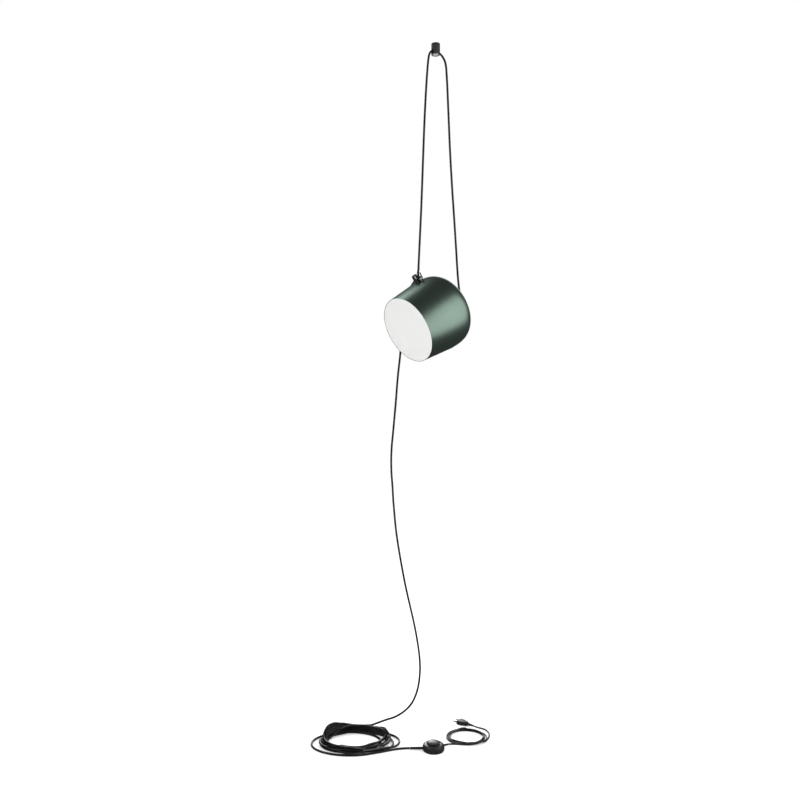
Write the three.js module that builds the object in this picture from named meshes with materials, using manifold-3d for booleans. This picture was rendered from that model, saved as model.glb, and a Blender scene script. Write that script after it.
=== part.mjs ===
// Cord-hung adjustable spot lamp with a foot dimmer. Millimetres, +Z up.
// The origin is the middle of the ceiling hook's top face; the floor is FLOOR_Z below it.
import * as THREE from "three";
import { mergeVertices } from "three/addons/utils/BufferGeometryUtils.js";
import Module from "manifold-3d";

const wasm = await Module();
wasm.setup();

// ---- Driving dimensions -------------------------------------------------
const GAP = 0.3; // between pieces that touch
const FLOOR_Z = -2298; // floor below the ceiling
const LOOP_TURN = THREE.MathUtils.degToRad(35.45); // plane of the two strands, from +X

const CORD_R = 3.5; // lamp cord, 7 mm across
const MAINS_R = 2.5; // mains lead, 5 mm across

const HOOK_R = 14.2;
const HOOK_HEIGHT = 35;
const HOOK_FLANGE = 4.5; // thickness of the fixed ceiling flange
const HOOK_BORE_R = 4.6; // cross passage for the cord
const HOOK_BORE_Z = -26.5;

const HEAD_AT = new THREE.Vector3(-113.2, 0, -937.8); // middle of the opening, in the loop's plane
const HEAD_TILT = THREE.MathUtils.degToRad(27.24); // axis above the horizon, towards the rear
const MOUTH_R = 109.4; // outside radius at the opening
const SHADE_MAX_R = 121.5;
const CONE_LENGTH = 114.7; // from the opening to the widest ring
const SHADE_LENGTH = 198;
const DOME_POWER = 3.75; // squareness of the closed end
const WALL = 2.5;

const CLAMP_R = 16;
const CLAMP_BASE = 4; // height of the fork's underside above the shade
const CLAMP_TOP = 23;
const SLOT_WIDTH = 9.5;
const SLOT_SHIFT = -6.5; // of the slot from the fork's middle, towards its thin prong
const SLOT_FLOOR = 10;
const SLOT_TURN = THREE.MathUtils.degToRad(53.5); // slot direction, from the shade's rearward line

const SWITCH_AT = new THREE.Vector3(-7, 0, FLOOR_Z);
const SWITCH_R = 35.5;
const CORD_ENTRY_Z = 6; // cord centres above the floor where they enter the switch
const MAINS_EXIT_TURN = THREE.MathUtils.degToRad(30);
const BUTTON_R = 22;
const BUTTON_TOP = 29.3;

const PLUG_AT = new THREE.Vector3(90.1, 202.6, FLOOR_Z + 7.1); // middle of its pin face
const PLUG_TURN = THREE.MathUtils.degToRad(143); // direction in which the pins point

const COIL_AT = new THREE.Vector3(-263, 58, FLOOR_Z);
const COIL_MEAN_R = 110; // along X; the coil is narrower along Y
const COIL_HALF_WIDTH = 40;
const COIL_HEIGHT = 34;
const COIL_NARROW = 0.7;
const SMALL_COIL_AT = new THREE.Vector3(110, 87, FLOOR_Z);
const SMALL_COIL_MEAN_R = 59.5;
const SMALL_COIL_HALF_WIDTH = 9.5;
const SMALL_COIL_HEIGHT = 13;
const SMALL_COIL_NARROW = 0.82;

// ---- Cord routes, in the part's frame -----------------------------------
// The strands hang in the loop's plane: distance along it, distance across it, and height.
const FRONT_STRAND = [
  [-2, 0, -26.5], [-14, 0, -26.7], [-20.5, 0, -30.5], [-26, 0, -40], [-29.8, 0, -56], [-32.3, 0, -76],
  [-38.8, 0, -152], [-46.1, 0, -270], [-52.5, 0, -410], [-58.5, 0, -540], [-64.5, 0, -645], [-69, 0, -722],
  [-69.6, 0, -733], [-69.9, -0.4, -741], [-70.2, 0.9, -746.6], [-69.4, 3.2, -751.6], [-67.8, 4.7, -754.3],
  [-67.2, 5.2, -754.9],
];
const REAR_STRAND = [
  [2, 0, -26.5], [14, 0, -26.7], [23, 0, -29.5], [32, 0, -37], [38.5, 0, -46], [42.5, 0, -58], [46.4, 0, -92],
  [53.4, 0, -209], [60.4, 0, -335], [69.2, 0, -454], [77.5, 0, -550], [85.5, 0, -645], [94.4, 0, -752],
  [99.5, 0, -790], [101.6, 0, -806], [100.4, 0, -818], [95.2, 0, -828], [87, 0, -834.8],
];
// The lamp cord leaves the clamp's slot on the far side, lies over the shade and hangs to the floor.
const DROP_UPPER = [
  [-57.7, -34.5, -755.1], [-57.5, -33.7, -755.7], [-57, -30.8, -756.5], [-56.7, -25.6, -756.8],
  [-57.6, -17.6, -757.7], [-60.2, -8.5, -760.6], [-64.8, 1.9, -766.3], [-71.4, 13.3, -774.4],
  [-80, 26.5, -786], [-88.4, 38.9, -799], [-96.4, 50.5, -815.7],
  [-102.6, 59.4, -835], [-107.2, 65.6, -856.5], [-109.7, 69.4, -878.6], [-110.5, 70.8, -900],
  [-111.3, 71, -925],
  [-112.8, 70.3, -958], [-115.2, 69, -1005], [-123.5, 69, -1083], [-130, 70, -1165], [-138, 71, -1255],
  [-144.6, 72, -1330], [-145, 73, -1395], [-141.2, 75.5, -1449], [-138.4, 77, -1500],
];
const DROP_LOWER = [
  [-138.3, 77.1, -1500.3], [-128.2, 80.7, -1606], [-100.7, 89.6, -1769.6], [-64.5, 102.4, -1935.5],
  [-51.3, 108.8, -2019], [-47.8, 113, -2070], [-51.5, 117, -2122], [-61, 120.4, -2163],
  [-78, 121.8, -2198], [-104, 121, -2224], [-134, 117.4, -2240], [-163, 112, -2247.3],
];
const SWITCH_LEAD = [
  [-134, -3.2, 3.8], [-120, 0.6, 3.8], [-107, 2, 4.4], [-95, 0.9, 5.6], [-89, 0.1, 5.95],
  [-84.5, 0, CORD_ENTRY_Z],
];
const MAINS_IN = [[42, 28.3, 5.9], [46, 30.5, 5.2], [50.5, 33.2, 4], [55, 36.1, 3.1]];
const MAINS_TAIL = [
  [182.6, 84, 2.8], [186, 97, 2.8], [187.4, 113, 2.8], [184.6, 130.5, 2.8], [178, 144.5, 2.8],
  [168.5, 153.6, 2.8], [158, 158.6, 3.2], [148.5, 161.6, 4.6], [141.5, 164.4, 6.3], [136.5, 167.6, 7],
];

// ---- Materials ----------------------------------------------------------
const paint = (color, roughness, metalness) => (
  new THREE.MeshStandardMaterial({ color, roughness, metalness })
);
const GREEN_METAL = paint(0x6f8579, 0.35, 0.9);
const BLACK_METAL = paint(0x1c1d1e, 0.25, 0.6);
const CHARCOAL = paint(0x2d2d2e, 0.45, 0.5);
const GREY_METAL = paint(0x8b8c8d, 0.4, 0.8);
const STEEL = paint(0xb9bbbd, 0.35, 1);
const BRASS = paint(0xc2a15c, 0.35, 1);
const ALUMINIUM = paint(0xc3c6c8, 0.4, 1);
const OPAL = paint(0xf2f2f0, 0.35, 0);
const WHITE_PLASTIC = paint(0xe9e9e6, 0.5, 0);
const BLACK_PLASTIC = paint(0x1d1d1f, 0.45, 0);
const GREY_PLASTIC = paint(0x55585a, 0.5, 0);
const RUBBER = paint(0x18181a, 0.7, 0);
const BOARD_GREEN = paint(0x2f6b45, 0.5, 0);
const YELLOW_LED = paint(0xe8d36a, 0.4, 0);

// ---- Solids -------------------------------------------------------------
// Merges shared vertices, drops the empty triangles at poles and turns the faces outwards.
function closed(geometry) {
  geometry.deleteAttribute("normal");
  geometry.deleteAttribute("uv");
  const merged = mergeVertices(geometry, 1e-4);
  const at = merged.getAttribute("position");
  const corner = [new THREE.Vector3(), new THREE.Vector3(), new THREE.Vector3()];
  const kept = [];
  let volume = 0;
  for (let i = 0; i < merged.index.count; i += 3) {
    const [a, b, c] = [0, 1, 2].map((k) => merged.index.getX(i + k));
    if (a === b || b === c || c === a) continue;
    kept.push(a, b, c);
    [a, b, c].forEach((v, k) => corner[k].fromBufferAttribute(at, v));
    volume += corner[0].dot(corner[1].cross(corner[2]));
  }
  if (volume < 0) kept.reverse();
  merged.setIndex(kept);
  return merged;
}

function solid(geometry) {
  const g = closed(geometry);
  const vertProperties = new Float32Array(g.getAttribute("position").array);
  const triVerts = new Uint32Array(g.index.array);
  return new wasm.Manifold(new wasm.Mesh({ numProp: 3, vertProperties, triVerts }));
}

function geometryOf(manifold) {
  const mesh = manifold.getMesh();
  const g = new THREE.BufferGeometry();
  g.setAttribute("position", new THREE.BufferAttribute(new Float32Array(mesh.vertProperties), 3));
  g.setIndex([...mesh.triVerts]);
  return g;
}

const cut = (body, ...tools) => (
  geometryOf(tools.reduce((left, tool) => left.subtract(solid(tool)), solid(body)))
);
const join = (body, ...more) => (
  geometryOf(more.reduce((sum, piece) => sum.add(solid(piece)), solid(body)))
);

// A turned piece about +Z from its [radius, height] outline.
function turned(outline, segments = 32) {
  const points = outline.map(([r, z]) => new THREE.Vector2(r, z));
  return closed(new THREE.LatheGeometry(points, segments).rotateX(Math.PI / 2));
}

const ringOutline = (inner, outer, low, high) => [
  [inner, low], [outer, low], [outer, high], [inner, high], [inner, low],
];
const ring = (inner, outer, low, high, segments) => turned(ringOutline(inner, outer, low, high), segments);
const disc = (radius, low, high, segments) => (
  turned([[0, low], [radius, low], [radius, high], [0, high]], segments)
);

// A cylinder from one height to another along +Z, then laid along +X if asked.
const rod = (radius, low, high, segments = 16) => disc(radius, low, high, segments);
const rodX = (radius, low, high, segments) => rod(radius, low, high, segments).rotateY(Math.PI / 2);

// A six-sided nut.
const nut = (cornerR, boreR, low, high) => (
  cut(disc(cornerR, low, high, 6), disc(boreR, low - 1, high + 1, 14))
);

function block(width, depth, low, high) {
  return new THREE.BoxGeometry(width, depth, high - low).translate(0, 0, (low + high) / 2);
}

// The hand-chosen points set the steps, so that bends get more of them than straight runs.
class CordRoute extends THREE.CatmullRomCurve3 {
  getUtoTmapping(u) {
    return u;
  }
}

function tube(points, radius, sides, stepsPerSpan = 1) {
  const section = new THREE.Shape();
  section.absarc(0, 0, radius, 0, 2 * Math.PI);
  const route = new CordRoute(points, false, "centripetal");
  const steps = (points.length - 1) * stepsPerSpan;
  const curveSegments = sides / 2;
  return closed(new THREE.ExtrudeGeometry(section, { steps, extrudePath: route, curveSegments }));
}

const part = new THREE.Group();

function add(group, name, geometry, material) {
  const mesh = new THREE.Mesh(closed(geometry), material);
  mesh.name = name;
  group.add(mesh);
  return mesh;
}

// ---- Ceiling hook: a fixed flange and spigot, and a round body that turns on it ----
const loop = new THREE.Group(); // local X lies in the loop's plane
loop.rotation.z = LOOP_TURN;
part.add(loop);

const SPIGOT_R = 8.5;
const SPIGOT_END = -14;
const HOOK_SCREW_Y = 4;
const flange = turned([
  [0, 0], [HOOK_R, 0], [HOOK_R, -HOOK_FLANGE], [SPIGOT_R, -HOOK_FLANGE], [SPIGOT_R, -7.6], [7.6, -8.2],
  [7.6, -10.8], [SPIGOT_R, -11.4], [SPIGOT_R, SPIGOT_END], [0, SPIGOT_END],
]);
const hookScrewSides = [-HOOK_SCREW_Y, HOOK_SCREW_Y];
const flangeHoles = hookScrewSides.flatMap((y) => [
  rod(1.6, SPIGOT_END - 1, 1, 12).translate(0, y, 0),
  rod(2.9, SPIGOT_END - 1, -11.8, 12).translate(0, y, 0),
]);
add(loop, "hook_flange", cut(flange, ...flangeHoles), CHARCOAL);
hookScrewSides.forEach((y, i) => {
  const screw = turned([[0, -13.8], [2.5, -13.8], [2.5, -12.1], [1.3, -12.1], [1.3, -0.2], [0, -0.2]], 12);
  add(loop, `hook_screw_${i + 1}`, screw.translate(0, y, 0), STEEL);
});

const bodyTop = -HOOK_FLANGE - GAP;
const hookShell = turned([
  [0, -14.6], [9, -14.6], [9, bodyTop], [HOOK_R, bodyTop], [HOOK_R, -HOOK_HEIGHT + 0.8],
  [HOOK_R - 0.8, -HOOK_HEIGHT], [10.3, -HOOK_HEIGHT], [10.3, -33.4], [0, -33.4],
]);
const mouthFlare = turned([[0, 9], [HOOK_BORE_R, 9], [HOOK_BORE_R + 2.6, 14.5], [0, 14.5]], 20);
const passage = [
  rodX(HOOK_BORE_R, -15, 15, 20),
  mouthFlare.clone().rotateY(Math.PI / 2),
  mouthFlare.clone().rotateY(-Math.PI / 2),
].map((tool) => tool.translate(0, 0, HOOK_BORE_Z));
const GRUB_Z = -9.5;
const grubHole = rodX(2.3, 7, 15, 12).rotateZ(Math.PI / 2).translate(0, 0, GRUB_Z);
add(loop, "hook_body", cut(hookShell, ...passage, grubHole), CHARCOAL);
add(loop, "hook_end_cap", disc(10, -34.6, -33.7), GREY_METAL);
const grub = turned([[0, 8], [1.2, 8], [1.2, 9.4], [2, 9.4], [2, 12.9], [0, 12.9]], 12);
add(loop, "hook_grub_screw", grub.rotateY(Math.PI / 2).rotateZ(Math.PI / 2).translate(0, 0, GRUB_Z), STEEL);

// ---- Lamp head: local Z runs from the opening to the rear, local -X is its upper side ----
const head = new THREE.Group();
head.position.copy(HEAD_AT);
head.rotation.y = Math.PI / 2 - HEAD_TILT;
loop.add(head);

// Outline of the spun shell, drawn in or out by `offset`: a cone, then a superelliptic dome.
function shellOutline(offset, rearHoleR) {
  const coneSteps = 3;
  const domeSteps = 7;
  const slope = (SHADE_MAX_R - MOUTH_R) / CONE_LENGTH;
  const points = [];
  for (let i = 0; i < coneSteps; i += 1) {
    const s = (CONE_LENGTH * i) / coneSteps;
    points.push([MOUTH_R + slope * s + offset, s]);
  }
  for (let i = 0; i <= domeSteps; i += 1) {
    const angle = (Math.PI / 2) * (i / domeSteps);
    const across = Math.cos(angle) ** (2 / DOME_POWER);
    const along = Math.sin(angle) ** (2 / DOME_POWER);
    points.push([
      Math.max((SHADE_MAX_R + offset) * across, rearHoleR),
      CONE_LENGTH + (SHADE_LENGTH - CONE_LENGTH + offset) * along,
    ]);
  }
  return points;
}

const SHADE_SEGMENTS = 40;
const REAR_HOLE_R = 6.3;
const outside = shellOutline(0, REAR_HOLE_R);
const inside = shellOutline(-WALL, REAR_HOLE_R);
// The mouth is turned out to a thin lip, into which the diffuser drops.
const LIP_WALL = 0.7;
const LIP_DEPTH = 3.7;
const lipSlope = ((SHADE_MAX_R - MOUTH_R) / CONE_LENGTH) * LIP_DEPTH;
inside.splice(0, 1, [MOUTH_R - LIP_WALL, 0], [MOUTH_R - LIP_WALL + lipSlope, LIP_DEPTH],
  [MOUTH_R - WALL + lipSlope, LIP_DEPTH]);
const shell = turned([...outside, ...inside.reverse(), outside[0]], SHADE_SEGMENTS);
const envelope = turned([[0, 0], ...shellOutline(GAP, 0)], SHADE_SEGMENTS);

// The clamp stands square to the cone's wall, so its group leans with the wall.
const clamp = new THREE.Group();
const coneLean = Math.atan2(SHADE_MAX_R - MOUTH_R, CONE_LENGTH);
const clampSeat = new THREE.Vector3(-SHADE_MAX_R, 0, CONE_LENGTH);
clamp.position.copy(clampSeat);
clamp.rotation.y = -(Math.PI / 2 + coneLean);
head.add(clamp);
clamp.updateMatrix();
const toClamp = clamp.matrix.clone().invert();

add(head, "shade", cut(shell, rod(3.1, -12, 8, 12).applyMatrix4(clamp.matrix)), GREEN_METAL);

const lensR = MOUTH_R - LIP_WALL - 0.4;
add(head, "diffuser", turned([
  [0, 0.2], [lensR - 1, 0.2], [lensR, 1], [lensR, 3.4], [0, 3.4],
], SHADE_SEGMENTS), OPAL);
add(head, "diffuser_ring", ring(99, 107, 3.7, 10, 40), WHITE_PLASTIC);
add(head, "reflector", turned([
  [98.6, 10.4], [100, 10.4], [66, 58.4], [64.6, 58.4], [98.6, 10.4],
], 40), WHITE_PLASTIC);
add(head, "led_module", disc(18, 60.2, 62.2, 24), YELLOW_LED);
add(head, "led_board", disc(58, 62.5, 64.1, 32), ALUMINIUM);

const FIN_COUNT = 10;
const fins = [];
for (let i = 0; i < FIN_COUNT; i += 1) {
  fins.push(block(40, 3, 68, 88).translate(43, 0, 0).rotateZ((2 * Math.PI * i) / FIN_COUNT));
}
const FRAME_SCREW_R = 72;
const frameScrewTurns = [0, 1, 2].map((i) => (2 * Math.PI * (i + 0.25)) / 3);
const around = (geometry, radius, turn) => geometry.translate(radius, 0, 0).rotateZ(turn);
const sinkHoles = frameScrewTurns.map((turn) => around(rod(1.8, 60, 75, 10), FRAME_SCREW_R, turn));
add(head, "heat_sink", cut(join(disc(77, 64.4, 69.4, 36), ...fins), ...sinkHoles), ALUMINIUM);
const frameHoles = frameScrewTurns.map((turn) => around(rod(1.8, 60, 75, 10), FRAME_SCREW_R, turn));
add(head, "support_ring", cut(ring(68, 113, 69.7, 71.7, 40), ...frameHoles), STEEL);
frameScrewTurns.forEach((turn, i) => {
  const screw = turned([[0, 74.2], [3, 74.2], [3, 72], [1.5, 72], [1.5, 64.7], [0, 64.7]], 10);
  add(head, `frame_screw_${i + 1}`, around(screw, FRAME_SCREW_R, turn), STEEL);
});

add(head, "driver_tray", block(60, 116, 88.3, 90.1), STEEL);
add(head, "driver_case", cut(block(50, 100, 90.4, 114), block(46, 96, 92.4, 115)), BLACK_PLASTIC);
const transformer = block(26, 24, 96, 110);
const capacitor = block(16, 16, 96, 108).translate(6, 30, 0);
add(head, "driver_board", join(block(44, 92, 95, 96.6), transformer, capacitor), BOARD_GREEN);
add(head, "driver_lid", block(50, 100, 114.3, 117), BLACK_PLASTIC);
add(head, "terminal_block", block(22, 32, 117.3, 131).translate(4, 0, 0), WHITE_PLASTIC);

// Rear gland: threaded spigot through the shell, nut and cord stop inside, soft boot outside.
const GLAND_BORE = CORD_R + 0.4;
const rearFace = SHADE_LENGTH + GAP;
add(head, "rear_gland", turned([
  [GLAND_BORE, 186], [5.8, 186], [5.8, rearFace], [11, rearFace], [11, 200.2], [9, 201.4], [9, 205],
  [GLAND_BORE, 205], [GLAND_BORE, 186],
], 24), BLACK_METAL);
add(head, "gland_nut", nut(10.5, 6.1, 190, 195.2), BRASS);
add(head, "cord_stop", ring(GLAND_BORE, 9, 174, 185.6, 16), GREY_PLASTIC);
add(head, "gland_boot", turned([
  [GLAND_BORE, 205.3], [7, 205.3], [6.6, 212], [5.2, 224.4], [GLAND_BORE, 224.4], [GLAND_BORE, 205.3],
], 20), RUBBER);
add(head, "inner_cord", rod(CORD_R, 131.4, 224.4, 12), RUBBER);

// Cord clamp on the shade's upper side: neck, slotted fork, grip pad and its fixing inside.
const neck = turned([
  [2.9, -3], [14.5, -3], [14.5, 0.6], [12, 2.4], [12, CLAMP_BASE - GAP], [2.9, CLAMP_BASE - GAP], [2.9, -3],
], 28);
add(clamp, "clamp_neck", cut(neck, envelope.clone().applyMatrix4(toClamp)), BLACK_METAL);
const forkBlank = turned([[0, CLAMP_BASE], [CLAMP_R - 0.6, CLAMP_BASE], [CLAMP_R, CLAMP_BASE + 0.6],
  [CLAMP_R, CLAMP_TOP - 0.8], [CLAMP_R - 0.8, CLAMP_TOP], [0, CLAMP_TOP]], 32);
const acrossFork = (length, width, low, high) => (
  block(length, width, low, high).translate(0, SLOT_SHIFT, 0).rotateZ(SLOT_TURN)
);
const slot = acrossFork(40, SLOT_WIDTH, SLOT_FLOOR, CLAMP_TOP + 5);
const slotLip = acrossFork(40, SLOT_WIDTH + 3, CLAMP_TOP - 1.5, CLAMP_TOP + 5);
add(clamp, "clamp_fork", cut(forkBlank, slot, slotLip, rod(2.9, 0, 9, 12)), BLACK_METAL);
add(clamp, "clamp_pad", acrossFork(20, SLOT_WIDTH - 1, SLOT_FLOOR + GAP, SLOT_FLOOR + 1.8), RUBBER);
add(clamp, "clamp_stud", rod(2.5, -11, 8.5, 14), STEEL);
add(clamp, "clamp_washer", ring(2.8, 8, -5.4, -4.1, 18), STEEL);
add(clamp, "clamp_nut", nut(5, 2.8, -9.6, -5.7), STEEL);

// ---- Foot dimmer --------------------------------------------------------
const footSwitch = new THREE.Group();
footSwitch.position.copy(SWITCH_AT);
part.add(footSwitch);

const lampEntry = (radius) => rodX(radius, -60, -28, 16).translate(0, 0, CORD_ENTRY_Z);
const mainsEntry = (radius) => (
  rodX(radius, 28, 60, 16).rotateZ(MAINS_EXIT_TURN).translate(0, 0, CORD_ENTRY_Z)
);
const LAMP_RELIEF_R = 4.5;
const MAINS_RELIEF_R = 3.8;
const entries = () => [lampEntry(LAMP_RELIEF_R + GAP), mainsEntry(MAINS_RELIEF_R + GAP)];
const BASE_TOP = 4.8;
const SWITCH_SCREW_Y = 30.3;
const switchScrewSides = [-SWITCH_SCREW_Y, SWITCH_SCREW_Y];
const baseHoles = switchScrewSides.flatMap((y) => [
  rod(1.6, 0, 6, 12).translate(0, y, 0),
  rod(2.9, 0, 3.4, 12).translate(0, y, 0),
]);
add(footSwitch, "switch_foot_ring", ring(26, 33.5, 0, 1.2, 28), RUBBER);
add(footSwitch, "switch_base", cut(disc(34.9, 1.5, BASE_TOP, 32), ...entries(), ...baseHoles), BLACK_PLASTIC);

const coverBottom = BASE_TOP + GAP;
const coverShell = turned([
  [SWITCH_R, coverBottom], [SWITCH_R, 12.5], [34.8, 16], [32.6, 18.7], [29.5, 20.3], [25, 20.9], [19.8, 20.9],
  [19.8, 19.4], [28.5, 18.9], [31, 17.2], [32.6, 14.8], [33.2, 12], [33.2, coverBottom],
  [SWITCH_R, coverBottom],
], 28);
const bosses = switchScrewSides.map((y) => rod(3.2, coverBottom, 15, 12).translate(0, y, 0));
const bossHoles = switchScrewSides.map((y) => rod(1.6, 0, 12.5, 12).translate(0, y, 0));
add(footSwitch, "switch_cover", cut(join(coverShell, ...bosses), ...entries(), ...bossHoles), BLACK_PLASTIC);
switchScrewSides.forEach((y, i) => {
  const screw = turned([[0, 2.1], [2.5, 2.1], [2.5, 3.2], [1.3, 3.2], [1.3, 12], [0, 12]], 12);
  add(footSwitch, `switch_screw_${i + 1}`, screw.translate(0, y, 0), STEEL);
});
add(footSwitch, "switch_board", block(42, 34, 6, 7.6), BOARD_GREEN);
add(footSwitch, "switch_module", cut(block(20, 20, 7.9, 12.2), rod(2.9, 8.9, 14, 12)), GREY_PLASTIC);

add(footSwitch, "switch_button", turned([
  [0, BUTTON_TOP], [8, BUTTON_TOP - 0.3], [14, 28.2], [18.5, 26.8], [21.2, 25.2], [BUTTON_R, 24.4],
  [BUTTON_R - 0.4, 24.2], [19, 24.2], [19, 19], [21.5, 19], [21.5, 17.5], [17, 17.5], [17, 23.5], [12, 25.8],
  [5, 27], [5, 18], [0, 18],
], 28), BLACK_PLASTIC);
add(footSwitch, "switch_plunger", rod(2.5, 12.4, 17.7, 12), GREY_PLASTIC);

const SPRING_TURNS = 4;
const SPRING_STEPS = 32;
const springLine = [];
for (let i = 0; i <= SPRING_STEPS; i += 1) {
  const t = i / SPRING_STEPS;
  const turn = 2 * Math.PI * SPRING_TURNS * t;
  springLine.push(new THREE.Vector3(7.5 * Math.cos(turn), 7.5 * Math.sin(turn), 13.3 + 12 * t));
}
add(footSwitch, "switch_spring", tube(springLine, 0.6, 6), STEEL);

// Soft strain reliefs, tapered from the housing down to the cord they hold.
const relief = (length, radius, cordR) => turned([
  [0, 30], [radius, 30], [radius, 37.5], [cordR + 0.7, 37.5 + length], [0, 37.5 + length],
], 16).rotateY(Math.PI / 2);
const lampRelief = relief(39.5, LAMP_RELIEF_R, CORD_R).rotateZ(Math.PI);
add(footSwitch, "lamp_side_relief", lampRelief.translate(0, 0, CORD_ENTRY_Z), RUBBER);
const mainsRelief = relief(18.5, MAINS_RELIEF_R, MAINS_R).rotateZ(MAINS_EXIT_TURN);
add(footSwitch, "mains_side_relief", mainsRelief.translate(0, 0, CORD_ENTRY_Z), RUBBER);

// ---- Two-pin plug, lying on its flat side -------------------------------
const plug = new THREE.Group();
plug.position.copy(PLUG_AT);
plug.rotation.z = PLUG_TURN;
part.add(plug);

const PIN_Y = 9.2;
const pinSides = [-PIN_Y, PIN_Y];
const PLUG_BODY_LENGTH = 38;
const plugOutline = [
  [0, -12.5], [0, 12.5], [-6, 14], [-16, 13.5], [-28, 9.5], [-PLUG_BODY_LENGTH, 6], [-PLUG_BODY_LENGTH, -6],
  [-28, -9.5], [-16, -13.5], [-6, -14],
];
const plugShape = new THREE.Shape(plugOutline.map(([x, y]) => new THREE.Vector2(x, y)));
const plugBlank = new THREE.ExtrudeGeometry(plugShape, {
  depth: 10.5, bevelEnabled: true, bevelThickness: 1.6, bevelSize: 1.4, bevelOffset: -1.4, bevelSegments: 1,
}).translate(0, 0, -5.25);
const sleeves = pinSides.map((y) => rodX(2, -3, 9, 14).translate(0, y, 0));
const pinBores = pinSides.map((y) => rodX(1.5, -8, 12, 12).translate(0, y, 0));
add(plug, "plug_body", cut(join(plugBlank, ...sleeves), ...pinBores), BLACK_PLASTIC);
pinSides.forEach((y, i) => {
  const pin = turned([[0, -7.6], [1.2, -7.6], [1.2, 9.3], [2, 9.3], [2, 18], [1, 19], [0, 19]], 14);
  add(plug, `plug_pin_${i + 1}`, pin.rotateY(Math.PI / 2).translate(0, y, 0), STEEL);
});
const plugRelief = turned([[0, 38.3], [5, 38.3], [3.2, 57.2], [0, 57.2]], 16).rotateY(-Math.PI / 2);
add(plug, "plug_relief", plugRelief, RUBBER);

// ---- Cords and coils ----------------------------------------------------
const inSpace = ([x, y, z]) => new THREE.Vector3(x, y, z);
const onFloor = ([x, y, z]) => new THREE.Vector3(x, y, FLOOR_Z + z);
add(loop, "cord_front_strand", tube(FRONT_STRAND.map(inSpace), CORD_R, 8), RUBBER);
add(loop, "cord_rear_strand", tube(REAR_STRAND.map(inSpace), CORD_R, 8), RUBBER);
add(part, "cord_drop_upper", tube(DROP_UPPER.map(inSpace), CORD_R, 8), RUBBER);
add(part, "cord_drop_lower", tube(DROP_LOWER.map(inSpace), CORD_R, 8), RUBBER);
add(part, "cord_switch_lead", tube(SWITCH_LEAD.map(onFloor), CORD_R, 8), RUBBER);
add(part, "mains_lead_in", tube(MAINS_IN.map(onFloor), MAINS_R, 8), RUBBER);
add(part, "mains_lead_tail", tube(MAINS_TAIL.map(onFloor), MAINS_R, 8), RUBBER);

// The outer shape of a coil: a ring with a rounded section, lying on the floor.
function coilRing(meanR, halfWidth, height, narrow) {
  const low = 0.1;
  const edge = height * 0.3;
  return turned([
    [meanR - halfWidth, low + edge], [meanR - halfWidth + edge, low], [meanR + halfWidth - edge, low],
    [meanR + halfWidth, low + edge], [meanR + halfWidth, height - edge], [meanR + halfWidth - edge, height],
    [meanR - halfWidth + edge, height], [meanR - halfWidth, height - edge], [meanR - halfWidth, low + edge],
  ], 32).scale(1, narrow, 1);
}
const lampCoil = coilRing(COIL_MEAN_R, COIL_HALF_WIDTH, COIL_HEIGHT, COIL_NARROW);
add(part, "cord_coil", lampCoil.translate(...COIL_AT), RUBBER);
const mainsCoil = coilRing(SMALL_COIL_MEAN_R, SMALL_COIL_HALF_WIDTH, SMALL_COIL_HEIGHT, SMALL_COIL_NARROW);
add(part, "mains_coil", mainsCoil.translate(...SMALL_COIL_AT), RUBBER);

export default part;
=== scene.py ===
"""A cord-hung spot lamp with a foot dimmer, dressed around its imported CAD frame. Metres, +Z up."""

import math

import bmesh
import bpy
import numpy as np
from mathutils import Matrix, Vector


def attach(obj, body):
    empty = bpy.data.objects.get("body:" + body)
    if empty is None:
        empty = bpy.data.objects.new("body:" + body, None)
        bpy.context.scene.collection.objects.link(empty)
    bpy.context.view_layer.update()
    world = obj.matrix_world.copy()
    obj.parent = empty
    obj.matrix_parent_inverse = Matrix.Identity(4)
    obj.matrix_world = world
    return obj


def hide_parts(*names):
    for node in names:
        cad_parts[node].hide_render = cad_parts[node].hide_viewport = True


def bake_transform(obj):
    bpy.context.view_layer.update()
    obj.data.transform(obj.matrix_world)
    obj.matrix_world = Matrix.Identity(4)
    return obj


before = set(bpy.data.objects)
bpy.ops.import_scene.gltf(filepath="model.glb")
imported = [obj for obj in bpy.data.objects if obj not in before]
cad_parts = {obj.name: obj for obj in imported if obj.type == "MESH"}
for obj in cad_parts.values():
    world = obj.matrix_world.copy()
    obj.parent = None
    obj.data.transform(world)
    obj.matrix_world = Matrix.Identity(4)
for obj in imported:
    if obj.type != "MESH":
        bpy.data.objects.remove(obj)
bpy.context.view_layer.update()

# ---- Ceiling hook: flange ------------------------------------------------
# A turned zinc flange, screwed flat to the ceiling by two countersunk screws hidden in its
# spigot. It is powder coated charcoal, which leaves a fine orange peel and no bright edge.
MM = 0.001
HOOK_RADIUS = 14.2
FLANGE_THICKNESS = 4.5
SPIGOT_RADIUS = 8.5
SPIGOT_END = -14.0
CHARCOAL = "252526"
CHARCOAL_LIGHT = "2f2f30"


def linear(code):
    """An sRGB hex colour as the linear numbers that a shader takes."""
    parts = [int(code[i:i + 2], 16) / 255 for i in (0, 2, 4)]
    return [c / 12.92 if c <= 0.04045 else ((c + 0.055) / 1.055) ** 2.4 for c in parts] + [1.0]


def put(tree, kind, sockets=None, **settings):
    """Adds a node with its settings, and sets or links its sockets."""
    made = tree.nodes.new("ShaderNode" + kind)
    for name, value in settings.items():
        setattr(made, name, value)
    for key, value in (sockets or {}).items():
        if isinstance(value, bpy.types.NodeSocket):
            tree.links.new(value, made.inputs[key])
        else:
            made.inputs[key].default_value = value
    return made


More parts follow.
